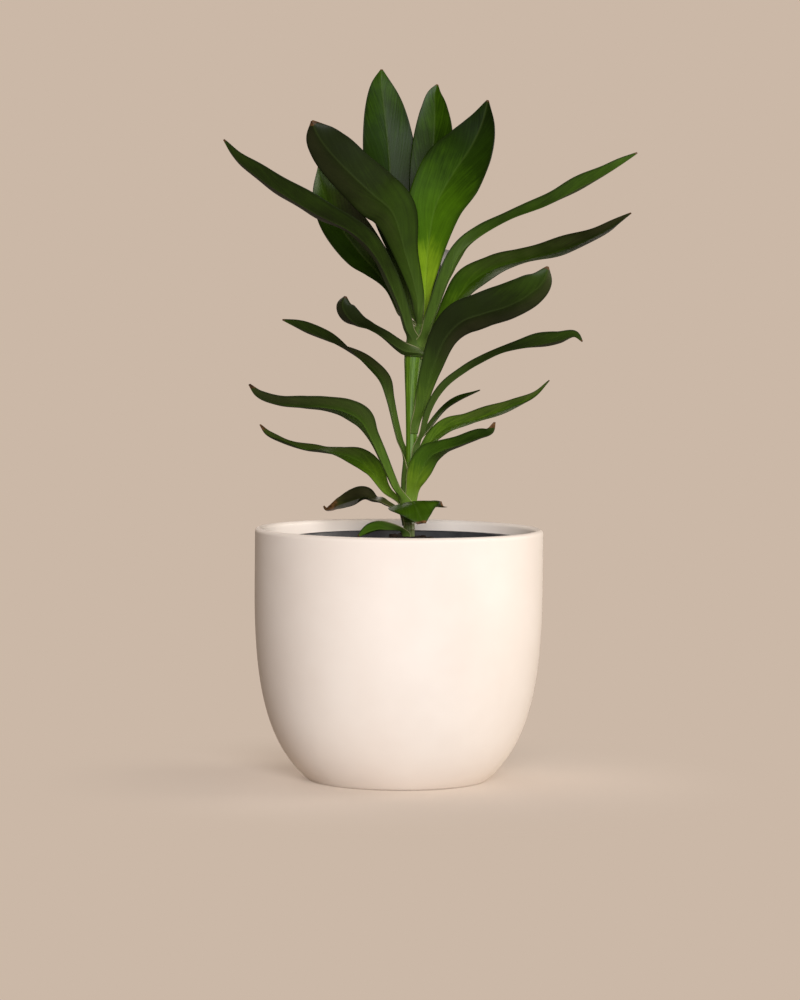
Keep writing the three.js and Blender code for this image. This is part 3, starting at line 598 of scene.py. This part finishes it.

# A leaf's rows run along its midrib from the stem to its tip, in millimetres: x, y, z, half width
# and turn. At turn 0 the upper face looks along its facing; it turns about the midrib from there.
# Its growth says how light its stalk, middle and end are drawn: partly the leaf's own green, partly
# painted shade where it lies deep in the crown or behind other leaves and painted light where light
# shines through its stalk. It says which half gets a brown-grey flush (+ or - v), partly the leaf's
# bronze tinge and partly painted shade on the half turned from the light, and how much, how deep its
# channel is and how much its edges wave, how far its base wraps the stem (degrees each way) and runs
# down it, and how long its dried tip is.
LEAVES = [
    ("leaf_crown_front_left", "dark_leaf", TO_FRONT,
     {"tone": (0.66, 0.5, 0.12), "flush_and_painted_shade": 0.35, "cup": 1, "wave": 0.6, "wrap": 70, "clasp": 8, "scorch": 5},
     [(13, -5.5, 352, 2.6, 160), (13, -12, 375, 5, 170), (3, -23, 412, 10, 172),
      (-7, -33, 443, 18, 168), (-22, -43, 457, 20, 162), (-40, -52, 473.5, 19, 160),
      (-56, -60, 490.5, 16.5, 156), (-64, -65, 501.5, 11.5, 154), (-69, -68, 511, 0.8, 154)]),
    ("leaf_crown_back_left", "mid_leaf", TO_FRONT,
     {"tone": (0.02, 0.2, 0.4), "flush_and_painted_shade": 0, "cup": 0.6, "wave": 0.5, "wrap": 60, "clasp": 8, "scorch": 1},
     [(12, 5.5, 352, 2.4, 20), (6, 13, 378, 5.5, 14), (1, 20, 408, 10, 12), (-7, 29, 446, 18, 10),
      (-10.5, 38, 490, 21, 8), (-14.5, 44, 524, 16, 6), (-17, 48, 544, 8.5, 6), (-17, 50, 556, 0.8, 6)]),
    ("leaf_crown_back_centre", "mid_leaf", TO_FRONT,
     {"tone": (0.1, 0.28, 0.42), "flush_and_painted_shade": 0, "cup": 0.7, "wave": 0.5, "wrap": 60, "clasp": 8, "scorch": 1},
     [(15.5, 1.5, 352, 2, -20), (15.5, 9, 390, 5.5, -22), (18, 17, 430, 11, -24),
      (21, 25, 468, 16, -22), (24.5, 31, 503, 16, -20), (25, 35, 524, 11.5, -20),
      (25, 37, 536, 6.5, -20), (27, 38, 544, 0.8, -20)]),
    ("leaf_crown_front_right", "mid_leaf", TO_FRONT,
     {"tone": (0.98, 0.6, 0.12), "flush_and_painted_shade": 0, "cup": 0.8, "wave": 0.7, "wrap": 70, "clasp": 8, "scorch": 2},
     [(19, -3, 352, 2.6, -50), (18.5, -6.5, 372, 5, -36), (19, -12.5, 395, 9.5, -24),
      (21, -21, 423, 16, -16), (26, -28, 449, 22, -14), (38, -34, 472, 25, -12),
      (52, -40, 493, 19.5, -12), (60.5, -43, 511, 11.5, -12), (65, -46, 528.5, 0.9, -14)]),
    ("leaf_crown_back_right", "dark_leaf", TO_FRONT,
     {"tone": (0.05, 0.05, 0.1), "flush_and_painted_shade": 0, "cup": 1, "wave": 0.5, "wrap": 60, "clasp": 8, "scorch": 2},
     [(18.5, 4.5, 352, 2.4, -40), (23, 20, 378, 5.5, -30), (29, 44, 392, 11, -24),
      (31, 74, 401, 14, -20), (31, 106, 408, 11, -16), (30, 132, 414, 0.8, -16)]),
    ("leaf_upper_left_long", "dark_leaf", TO_FRONT,
     {"tone": (0.5, 0.4, 0.42), "flush_and_painted_shade": 0.6, "cup": 1, "wave": 0.6, "wrap": 80, "clasp": 5, "scorch": 3},
     [(9, -8.6, 337, 4.5, 146), (5, -11, 355, 5.5, 140), (-2, -15, 376, 7, 134),
      (-20, -22, 412, 11, 126), (-36, -26, 428, 13, 119), (-68, -30, 445, 16, 118),
      (-106, -35, 468, 14, 117), (-127, -38, 484, 7, 118), (-137, -40, 497, 0.7, 120)]),
    ("leaf_upper_left_broad", "mid_leaf", TO_FRONT,
     {"tone": (0.1, 0.2, 0.55), "flush_and_painted_shade": 0.4, "cup": 1, "wave": 0.6, "wrap": 60, "clasp": 8, "scorch": 1},
     [(9, 1.5, 352, 2.2, 78), (-1, 6, 365, 4.5, 64), (-9, 12, 384, 8.5, 50), (-18.5, 18, 398, 15, 40),
      (-30.5, 26, 411, 19, 34), (-43.5, 31, 427.5, 20, 32), (-53.5, 36, 443.5, 17.5, 30),
      (-61, 41, 459, 12, 30), (-66, 45, 479, 0.8, 30)]),
    ("leaf_upper_right_long", "mid_leaf", TO_FRONT,
     {"tone": (0.45, 0.45, 0.5), "flush_and_painted_shade": -0.6, "cup": 1, "wave": 0.6, "wrap": 80, "clasp": 5, "scorch": 3},
     [(17.5, -8.8, 338, 4.5, -135), (23, -15, 361, 6, -130), (34, -17, 392, 8, -128),
      (45, -10, 414, 9, -128), (60, 1, 427, 11, -110), (84, 9, 441, 12, -102),
      (110, 19, 451, 13, -108), (133, 27, 463, 12, -116), (158, 35, 476, 9, -116),
      (185, 44, 492, 0.7, -116)]),
    ("leaf_upper_right_second", "dark_leaf", TO_FRONT,
     {"tone": (0.8, 0.55, 0.25), "flush_and_painted_shade": -0.6, "cup": 1, "wave": 0.7, "wrap": 75, "clasp": 5, "scorch": 3},
     [(19.5, 6.5, 334, 4, -50), (31, 12, 356, 6.5, -48), (42, 18, 375, 11, -42),
      (54, 23, 390, 14, -44), (74, 30, 402, 14, -56), (95, 38, 408, 14, -66), (125, 47, 416, 15, -62),
      (157, 56, 429, 10, -64), (182, 64, 445, 0.7, -66)]),
    ("leaf_upper_right_broad", "dark_leaf", TO_FRONT,
     {"tone": (0.75, 0.2, 0.5), "flush_and_painted_shade": -0.6, "cup": 1, "wave": 0.7, "wrap": 48, "clasp": 5, "scorch": 3},
     [(14, -6.4, 276, 3.8, -142), (18, -11, 298, 6.5, -150), (24, -18, 322, 9, -158),
      (34, -26, 347, 12, -158), (46, -32, 360, 15, -154), (63, -38, 367, 16, -148),
      (81, -43, 373, 17.5, -145), (97, -49, 382, 16.5, -144), (107, -53, 391, 11.5, -146),
      (112, -56, 402, 0.9, -150)]),
    ("leaf_middle_left_short", "dark_leaf", TO_FRONT,
     {"tone": (0.35, 0.12, 0.2), "flush_and_painted_shade": 0.4, "cup": 1, "wave": 0.4, "wrap": 60, "clasp": 0, "scorch": 2},
     [(18.5, -10.5, 331, 3.5, 176), (9, -12.5, 334, 5, 168), (0, -17, 338.5, 6, 140),
      (-13, -25, 348, 6.5, 122), (-24, -30, 354, 6.5, 116), (-32, -34, 357, 8.5, 124),
      (-40, -37, 363, 9.5, 140), (-44, -39, 371, 7.5, 146), (-43, -40, 378, 1, 150)]),
    ("leaf_middle_left_thin", "dark_leaf", TO_FRONT,
     {"tone": (0.5, 0.3, 0.45), "flush_and_painted_shade": 0.5, "cup": 1, "wave": 0.4, "wrap": 125, "clasp": 26, "scorch": 3},
     [(3.5, 4, 250, 3.2, 50), (-2, 9, 270, 4, 52), (-9, 18, 298, 5, 52), (-14, 24, 313, 8, 54),
      (-24, 30, 324, 8, 62), (-41, 38, 336, 8, 88), (-57, 44, 344, 8, 118), (-75, 52, 351, 8, 124),
      (-94, 59, 358, 0.6, 122)]),
    ("leaf_lower_left_long", "mid_leaf", TO_FRONT,
     {"tone": (0.75, 0.5, 0.3), "flush_and_painted_shade": -0.7, "cup": 1, "wave": 0.6, "wrap": 85, "clasp": 12, "scorch": 6},
     [(3, -6.4, 215, 3.4, 140), (-9, -12, 242, 4.5, 138), (-22, -19, 270, 7, 136),
      (-30, -23, 283, 11, 140), (-42, -28, 290, 11, 134), (-59, -34, 294, 11, 122),
      (-74, -37, 294.5, 11, 116), (-92, -43, 296, 10, 117), (-109, -48, 302, 6.5, 118),
      (-116, -50, 310, 0.9, 120)]),
    ("leaf_lower_left_curled", "dark_leaf", TO_FRONT,
     {"tone": (0.85, 0.6, 0.5), "flush_and_painted_shade": 0.6, "cup": 1, "wave": 0.6, "wrap": 80, "clasp": 10, "scorch": 8},
     [(0.5, 3.5, 213, 3.2, 50), (-12, 10, 227, 5.5, 50), (-21, 18, 241, 10, 48),
      (-34, 26, 250, 11, 50), (-48, 31, 254, 9, 66), (-62, 35, 256, 8, 84), (-74, 39, 257, 7, 72),
      (-92, 43, 262, 5, 76), (-105, 46, 268, 4, 70), (-111, 48, 275, 0.6, 60)]),
    ("leaf_middle_right_long", "dark_leaf", TO_FRONT,
     {"tone": (0.4, 0.4, 0.5), "flush_and_painted_shade": -0.5, "cup": 1, "wave": 0.5, "wrap": 55, "clasp": 8, "scorch": 2},
     [(14.5, -3.6, 259, 2.8, -110), (23, -13, 291, 4, -124), (34, -20, 309, 5, -126),
      (50, -27, 322, 5, -122), (63, -32, 330, 5.5, -112), (77, -36, 337, 7, -106),
      (92, -41, 341, 9.5, -112), (107, -45, 344, 11, -122), (121, -49, 347, 9, -122),
      (133, -52, 350, 4.5, -122), (139, -54, 345, 0.6, -122)]),
    ("leaf_middle_right_tiny", "dark_leaf", TO_FRONT,
     {"tone": (0.3, 0.3, 0.3), "flush_and_painted_shade": 0, "cup": 1, "wave": 0.3, "wrap": 60, "clasp": 8, "scorch": 1},
     [(14.5, 3.8, 262, 2.4, -60), (24, 16, 277, 3, -54), (35, 27, 290, 3.6, -66),
      (46, 34, 297, 3.6, -62), (63, 45, 304, 0.5, -70)]),
    ("leaf_lower_right_thin", "dark_leaf", TO_FRONT,
     {"tone": (0.75, 0.75, 0.7), "flush_and_painted_shade": -0.8, "cup": 1, "wave": 0.5, "wrap": 75, "clasp": 10, "scorch": 2},
     [(13.5, 4.6, 247, 2.8, -50), (24, 11, 265, 6, -40), (37, 18, 276, 8, -48), (54, 25, 281, 8, -56),
      (74, 33, 287, 9, -60), (90, 39, 293, 7, -60), (106, 45, 300, 3.4, -60), (118, 50, 312, 0.5, -60)]),
    ("leaf_lower_right_folded", "mid_leaf", TO_FRONT,
     {"tone": (0.9, 0.55, 0.35), "flush_and_painted_shade": -0.7, "cup": 1, "wave": 0.5, "wrap": 85, "clasp": 10, "scorch": 7},
     [(11, -6, 219, 3.4, -160), (11.5, -9, 230, 6.5, -164), (16, -14, 243, 10, -160),
      (23, -19, 255, 10.5, -150), (33, -24, 261, 9, -134), (47, -29, 266, 8.5, -122),
      (60, -33, 271, 8.5, -120), (70, -37, 275, 6, -122), (73, -39, 282, 0.9, -124)]),
    ("leaf_base_left_withered", "withered_leaf", TO_FRONT,
     {"tone": (0.3, 0.25, 0.5), "flush_and_painted_shade": 0.6, "cup": 1, "wave": 0.8, "wrap": 75, "clasp": 8, "scorch": 20},
     [(-0.5, 4, 207, 2.6, 50), (-13, 12, 217, 4, 62), (-21, 20, 218.5, 6, 84), (-28, 26, 220, 9, 58),
      (-38, 32, 217, 10, 54), (-48, 38, 213, 7, 56), (-58, 43, 208.5, 2, 60), (-60, 43, 211, 0.8, 60)]),
    ("leaf_base_front", "dark_leaf", (0, 0, 1),
     {"tone": (0.45, 0.6, 0.6), "flush_and_painted_shade": 0, "cup": -0.35, "wave": 0.3, "wrap": 60, "clasp": 6, "scorch": 3},
     [(8, -7.4, 208, 4, 0), (9.5, -18, 216.5, 11, 6), (10.5, -29, 218.5, 19, 8),
      (12, -38, 216.5, 18.5, 9), (15, -44, 210.5, 11, 10), (17.5, -48, 204, 3.5, 10)]),
    ("leaf_base_right_small", "dark_leaf", TO_FRONT,
     {"tone": (0.2, 0.2, 0.2), "flush_and_painted_shade": 0, "cup": 1, "wave": 0.3, "wrap": 60, "clasp": 6, "scorch": 3},
     [(12.5, 4, 209, 2.6, -60), (24, 14, 214, 4.2, -60), (35, 26, 213.5, 3.8, -60)]),
    ("leaf_base_on_soil", "mid_leaf", TO_FRONT,
     {"tone": (0.4, 0.55, 0.6), "flush_and_painted_shade": 0, "cup": 1, "wave": 0.3, "wrap": 60, "clasp": 5, "scorch": 2},
     [(2.4, -5.2, 192.5, 2.6, 118), (-6, -10, 197, 5, 126), (-15, -14, 198.5, 6.5, 130),
      (-24, -18, 196.5, 6, 130), (-32, -21, 191.5, 1, 126)]),
]
LEAF_STEPS = 13
LEAF_HALF_ACROSS = 24
VEIN_LEAN = math.radians(13)
BLADE_CUP = 0.32
STALK_CUP = 0.35
STALK_HALF_WIDTH = 6
CLASP_FADE = 17
EDGE_THICKNESS = 0.35
MIDDLE_THICKNESS = 0.9
STALK_EXTRA = 0.9
SHEATH_EDGE = 0.3
SHEATH_MIDDLE = 0.9
GROOVE_DEPTH = 0.22
GROOVE_WIDTH = 0.7
KEEL_DEPTH = 0.4
KEEL_WIDTH = 0.9


def eased(value, low, high):
    """Smooth step from 0 at low to 1 at high."""
    part = np.clip((value - low) / (high - low), 0, 1)
    return part * part * (3 - 2 * part)


def leaf_rings(rows, facing, growth, seed):
    """Leaf surface over (station s, across v). The blade point is midrib + side * half * v + normal *
    lift, where lift = cup * half * (|v|^1.4 - 0.5) makes the channel, with a wave along its edges, a
    groove over the midrib and a keel under it. The clasp point lies on an arc round the stem's middle,
    and the two are mixed by how near the station is to the base. Returns the rings and their shades."""
    rng = np.random.default_rng(seed)
    course = follow(rows, LEAF_STEPS)
    run = np.concatenate([[0], np.cumsum(np.linalg.norm(np.diff(course[:, :3], axis=0), axis=1))])
    length = run[-1]
    clasp_run = np.arange(-growth["clasp"], -0.5, 1.0)
    forward = np.gradient(course[:, :3], run, axis=0)
    forward /= np.linalg.norm(forward, axis=1, keepdims=True)
    centre = np.vstack([course[0, :3] + forward[0] * clasp_run[:, None], course[:, :3]])
    forward = np.vstack([np.repeat(forward[:1], len(clasp_run), axis=0), forward])
    half = np.concatenate([np.full(len(clasp_run), course[0, 3]), course[:, 3]])
    turn = np.radians(np.concatenate([np.full(len(clasp_run), course[0, 4]), course[:, 4]]))
    s = np.concatenate([clasp_run, run])
    ahead = np.array(facing, float) - (forward @ np.array(facing, float))[:, None] * forward
    ahead /= np.linalg.norm(ahead, axis=1, keepdims=True)
    normal = ahead * np.cos(turn)[:, None] + np.cross(forward, ahead) * np.sin(turn)[:, None]
    side = np.cross(forward, normal)

    u = np.linspace(-1, 1, 2 * LEAF_HALF_ACROSS + 1)
    v = (np.sign(u) * np.abs(u) ** 1.3)[None, :]
    s, t = s[:, None], np.clip(s / length, 0, 1)[:, None]
    half = half[:, None] * (1 + 0.015 * np.sin(s / rng.uniform(11, 17) + rng.uniform(0, 6)))
    narrow = np.exp(-(half / STALK_HALF_WIDTH) ** 2)
    stalk = narrow * (1 - eased(t, 0.3, 0.62))
    blade = (1 - stalk) * (1 - eased(t, 0.86, 1.0))
    lift = growth["cup"] * (BLADE_CUP + STALK_CUP * narrow) * half * (np.abs(v) ** 1.4 - 0.5)
    left_wave = np.sin(s * 2 * math.pi / rng.uniform(38, 62) + rng.uniform(0, 6.28))
    right_wave = np.sin(s * 2 * math.pi / rng.uniform(38, 62) + rng.uniform(0, 6.28))
    lift = lift + growth["wave"] * blade * np.abs(v) ** 2.5 * np.where(v < 0, left_wave, right_wave) * 0.8
    thick = EDGE_THICKNESS + (MIDDLE_THICKNESS - EDGE_THICKNESS + STALK_EXTRA * stalk) * (1 - v ** 2)
    reach = half * v
    fade = 1 - eased(t, 0.5, 1.0)
    groove = GROOVE_DEPTH * np.exp(-(reach / GROOVE_WIDTH) ** 2) * (1 - 0.6 * stalk) * (0.3 + 0.7 * fade)
    keel = KEEL_DEPTH * np.exp(-(reach / KEEL_WIDTH) ** 2) * fade
    out = side[:, None] * reach[..., None] + centre[:, None]
    upper = out + normal[:, None] * (lift + thick / 2 - groove)[..., None]
    lower = out + normal[:, None] * (lift - thick / 2 - keel)[..., None]

    z = np.where(s < 0, course[0, 2] + s, course[0, 2] + s * max(forward[0, 2], 0.5))
    stem_x = np.interp(z, stem_line[:, 2], stem_line[:, 0])
    stem_r = np.interp(z, stem_line[:, 2], stem_line[:, 3])
    base_x = np.interp(course[0, 2], stem_line[:, 2], stem_line[:, 0])
    base_reach = math.hypot(course[0, 0] - base_x, course[0, 1])
    heading = math.atan2(course[0, 1], course[0, 0] - base_x)
    low_reach = np.minimum(stem_r + 0.55, base_reach)
    ring_reach = low_reach + np.minimum(base_reach - low_reach, 1.0) * eased(s, -growth["clasp"], 2)
    ring_reach = ring_reach + 0.12 * np.maximum(s, 0)
    wrap = math.radians(growth["wrap"])
    swing = wrap + (half / np.maximum(ring_reach, 1) - wrap) * eased(s, -growth["clasp"] * 0.6, CLASP_FADE)
    sheet = SHEATH_EDGE + (SHEATH_MIDDLE - SHEATH_EDGE) * (1 - v ** 2)
    turn_to = heading - v * swing
    arc = np.stack([np.cos(turn_to), np.sin(turn_to)], axis=-1)
    hub = np.stack([stem_x + 0 * v, 0 * turn_to], axis=-1)
    level = np.repeat(z, v.shape[1], axis=1)[..., None]
    inner = np.concatenate([hub + arc * (ring_reach - sheet / 2)[..., None], level], axis=-1)
    outer = np.concatenate([hub + arc * (ring_reach + sheet / 2)[..., None], level], axis=-1)
    clasped = 1 - eased(s, 0, CLASP_FADE)
    upper = upper + (inner - upper) * clasped[..., None]
    lower = lower + (outer - lower) * clasped[..., None]

    # The stalk, middle and end values blend into how light the green is drawn: partly the leaf's own green,
    # partly painted shade and painted light through the stalk.
    at_stalk, at_middle, at_end = growth["tone"]
    tone = at_stalk + (at_middle - at_stalk) * eased(t, 0.12, 0.5)
    tone = tone + (at_end - at_middle) * eased(t, 0.5, 0.95)
    rings = np.concatenate([upper, lower[:, ::-1]], axis=1)
    both = np.concatenate([v, v[:, ::-1]], axis=1)
    far = np.abs(np.concatenate([reach, reach[:, ::-1]], axis=1))
    full = np.ones_like(far)
    # One half gets a brown-grey flush: partly the leaf's bronze tinge, partly painted shade on the half
    # turned from the light.
    flushed_and_shaded_half = eased(np.sign(growth["flush_and_painted_shade"]) * both, -0.15, 0.5)
    dry_tip = np.clip(1 - (length - s) / max(growth["scorch"], 0.5), 0, 1)
    dry_rim = 0.22 * np.abs(both) ** 6 * eased(t, 0.55, 1.0) * min(growth["scorch"] / 10, 1)
    shades = {
        "across": both * full,
        "reach": far,
        "under": np.concatenate([np.zeros_like(v), np.ones_like(v)], axis=1) * full,
        "stalk": np.maximum(stalk, clasped) * full,
        "clasp": (1 - eased(s, 4, 30)) * full,
        "pigment_and_painted_light": tone * full,
        "flush_and_painted_shade": abs(growth["flush_and_painted_shade"]) * flushed_and_shaded_half * eased(t, 0.2, 0.5),
        "dried": dry_tip * full + dry_rim,
        "vein": np.stack([s * math.sin(VEIN_LEAN) - far * math.cos(VEIN_LEAN),
                          s * math.cos(VEIN_LEAN) + far * math.sin(VEIN_LEAN),
                          (seed + 0.4 * np.sign(both)) * full], axis=-1),
    }
    return rings * MM, shades


def leaf_finish(name, greens, back, stalk_greens):
    """Cordyline leaf skin: waxy cuticle with a soft sheen, fine side veins that leave the midrib at a
    narrow angle, a green drawn from each leaf's values, which carry painted shade and painted light
    through the stalk, a darker rim that is partly a thin dark margin and partly painted shade, a
    brown-grey flush on one half that is partly a bronze tinge and partly painted shade, a cream
    membrane edge where the stalk clasps the stem, and a papery brown tip."""
    skin, tree = bare_material(name)
    across, reach, under, stalk, clasp, pigment_and_painted_light, flush_and_painted_shade, dried, vein = (
        add_node(tree, "ShaderNodeAttribute", attribute_name=label)
        for label in ("across", "reach", "under", "stalk", "clasp", "pigment_and_painted_light", "flush_and_painted_shade", "dried", "vein"))
    where = add_node(tree, "ShaderNodeTexCoord")
    drawn_out = add_node(tree, "ShaderNodeVectorMath", {
        0: vein.outputs["Vector"], 1: (0.75, 0.035, 3.1)}, operation="MULTIPLY")
    veins = add_node(tree, "ShaderNodeTexNoise", {
        "Vector": drawn_out.outputs[0], "Scale": 1.0, "Detail": 3.5, "Roughness": 0.62})
    patches = add_node(tree, "ShaderNodeTexNoise", {
        "Vector": where.outputs["Object"], "Scale": 42.0, "Detail": 3.0, "Roughness": 0.55})
    # The green comes from the leaf's values, which carry painted shade and painted light through the stalk,
    # with veins and patches laid over them.
    veined_tone = add_node(tree, "ShaderNodeMath", {
        0: veins.outputs["Fac"], 1: 0.3, 2: pigment_and_painted_light.outputs["Fac"]}, operation="MULTIPLY_ADD")
    patched_tone = add_node(tree, "ShaderNodeMath", {
        0: patches.outputs["Fac"], 1: 0.34, 2: veined_tone.outputs[0]}, operation="MULTIPLY_ADD")
    tone = add_node(tree, "ShaderNodeMath", {0: patched_tone.outputs[0], 1: 0.32}, operation="SUBTRACT")
    green = add_node(tree, "ShaderNodeValToRGB", {"Fac": tone.outputs[0]},
                     ramp=list(zip((0.0, 0.35, 0.68, 1.0), greens)))
    paler = add_node(tree, "ShaderNodeMath", {0: under.outputs["Fac"], 1: 0.3}, operation="MULTIPLY")
    sided = add_node(tree, "ShaderNodeMix", {
        0: paler.outputs[0], 6: green.outputs["Color"], 7: linear(back)}, data_type="RGBA")
    # Brown-grey flush on one half: partly the leaf's bronze tinge, partly painted shade.
    flush_and_shade_depth = add_node(tree, "ShaderNodeMath", {
        0: flush_and_painted_shade.outputs["Fac"], 1: patches.outputs["Fac"]}, operation="MULTIPLY")
    flushed_and_shaded = add_node(tree, "ShaderNodeMix", {
        0: flush_and_shade_depth.outputs[0], 6: sided.outputs[2], 7: linear("#453f2c")}, data_type="RGBA")
    on_rib = add_node(tree, "ShaderNodeMapRange", {
        "Value": reach.outputs["Fac"], "From Min": 0.3, "From Max": 1.2, "To Min": 0.07, "To Max": 0.0})
    ribbed = add_node(tree, "ShaderNodeMix", {
        0: on_rib.outputs[0], 6: flushed_and_shaded.outputs[2], 7: linear(stalk_greens[1])}, data_type="RGBA")
    streaked = add_node(tree, "ShaderNodeMix", {
        0: veins.outputs["Fac"], 6: linear(stalk_greens[0]), 7: linear(stalk_greens[1])}, data_type="RGBA")
    stalked_much = add_node(tree, "ShaderNodeMath", {0: stalk.outputs["Fac"], 1: 0.65}, operation="MULTIPLY")
    stalked = add_node(tree, "ShaderNodeMix", {
        0: stalked_much.outputs[0], 6: ribbed.outputs[2], 7: streaked.outputs[2]}, data_type="RGBA")
    edge = add_node(tree, "ShaderNodeMath", {0: across.outputs["Fac"]}, operation="ABSOLUTE")
    # Darker towards the edges: partly a thin dark margin, partly painted shade along the blade's sides.
    dark_margin_and_painted_shade = add_node(tree, "ShaderNodeMapRange", {
        "Value": edge.outputs[0], "From Min": 0.8, "From Max": 1.0, "To Max": 0.6})
    margined_and_shaded = add_node(tree, "ShaderNodeMix", {
        0: dark_margin_and_painted_shade.outputs[0], 6: stalked.outputs[2], 7: linear("#141a08")}, data_type="RGBA")
    membrane = add_node(tree, "ShaderNodeMapRange", {
        "Value": edge.outputs[0], "From Min": 0.88, "From Max": 0.99, "To Max": 0.8})
    at_clasp = add_node(tree, "ShaderNodeMath", {
        0: membrane.outputs[0], 1: clasp.outputs["Fac"]}, operation="MULTIPLY")
    edged = add_node(tree, "ShaderNodeMix", {
        0: at_clasp.outputs[0], 6: margined_and_shaded.outputs[2], 7: linear("#a9a876")}, data_type="RGBA")
    ragged = add_node(tree, "ShaderNodeTexNoise", {
        "Vector": where.outputs["Object"], "Scale": 260.0, "Detail": 4.0, "Roughness": 0.7})
    creeping = add_node(tree, "ShaderNodeMath", {
        0: ragged.outputs["Fac"], 1: 0.7, 2: dried.outputs["Fac"]}, operation="MULTIPLY_ADD")
    dead = add_node(tree, "ShaderNodeMapRange", {
        "Value": creeping.outputs[0], "From Min": 0.62, "From Max": 0.78})
    papery = add_node(tree, "ShaderNodeValToRGB", {"Fac": ragged.outputs["Fac"]},
                      ramp=[(0.35, "#2c1c0e"), (0.6, "#6b4c2c")])
    tipped = add_node(tree, "ShaderNodeMix", {
        0: dead.outputs[0], 6: edged.outputs[2], 7: papery.outputs["Color"]}, data_type="RGBA")
    waxy = add_node(tree, "ShaderNodeMapRange", {
        "Value": under.outputs["Fac"], "To Min": 0.3, "To Max": 0.4})
    dulled = add_node(tree, "ShaderNodeMath", {
        0: veins.outputs["Fac"], 1: 0.1, 2: waxy.outputs[0]}, operation="MULTIPLY_ADD")
    vein_relief = add_node(tree, "ShaderNodeBump", {
        "Height": veins.outputs["Fac"], "Strength": 0.3, "Distance": 0.0003})
    shell = add_node(tree, "ShaderNodeBsdfPrincipled", {
        "Base Color": tipped.outputs[2], "Roughness": dulled.outputs[0], "IOR": 1.45,
        "Specular IOR Level": 0.13, "Normal": vein_relief.outputs[0]})
    add_node(tree, "ShaderNodeOutputMaterial", {"Surface": shell.outputs[0]})
    return skin


# Each green ramp runs from a nearly black green, which is painted shade, through the leaf's own greens to a
# bright lime, used for painted light where light shines through a stalk.
finishes = {
    "dark_leaf": leaf_finish(
        "deep_green_leaf", ("#070b02", "#1a2804", "#375309", "#6d9018"), "#2f371a", ("#46621c", "#6b8240")),
    "mid_leaf": leaf_finish(
        "fresh_green_leaf", ("#0a1102", "#203604", "#456a0a", "#8fb222"), "#38471f", ("#527222", "#7c9248")),
    "withered_leaf": leaf_finish(
        "withering_leaf", ("#0b0d04", "#1f240a", "#434a17", "#6a6c2c"), "#2f3118", ("#4a5724", "#6f7440")),
}
for seed, (name, finish, facing, growth, rows) in enumerate(LEAVES):
    rings, shades = leaf_rings(rows, facing, growth, seed)
    points, faces = skinned(rings)
    leaf = make_piece(name + "_blade", points, faces, finishes[finish], shades)
    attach(leaf, "root")
    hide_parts(name)
